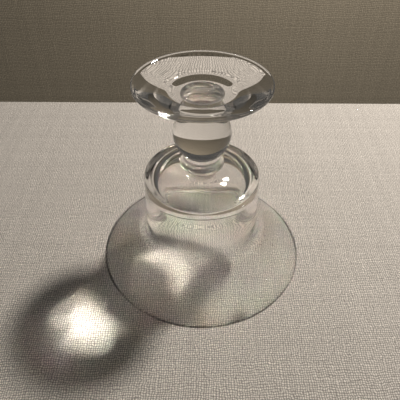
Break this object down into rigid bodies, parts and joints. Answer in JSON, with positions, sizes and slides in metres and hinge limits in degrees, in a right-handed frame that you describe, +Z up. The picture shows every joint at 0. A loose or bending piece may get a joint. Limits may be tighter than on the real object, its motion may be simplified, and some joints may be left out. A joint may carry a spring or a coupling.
{
  "type": "stemmed cocktail glass",
  "caption": "Clear glass with a wide flared brim over a straight-sided, thick-based well, a solid ball stem and a saucer foot; stored upside down on its rim.",
  "frame": {"origin": "centre of the rim, on the surface that the glass stands on upside down", "axes": "+Z up the axis of revolution, from the rim to the foot; X and Y are level and alike"},
  "size_m": [0.12, 0.12, 0.114],
  "materials": {
    "clear_glass": "fire-polished clear soda-lime glass"
  },
  "bodies": {
    "root": {"bowl": "clear_glass", "bowl_collar": "clear_glass", "knop": "clear_glass", "foot_collar": "clear_glass", "foot": "clear_glass"}
  },
  "joints": []
}
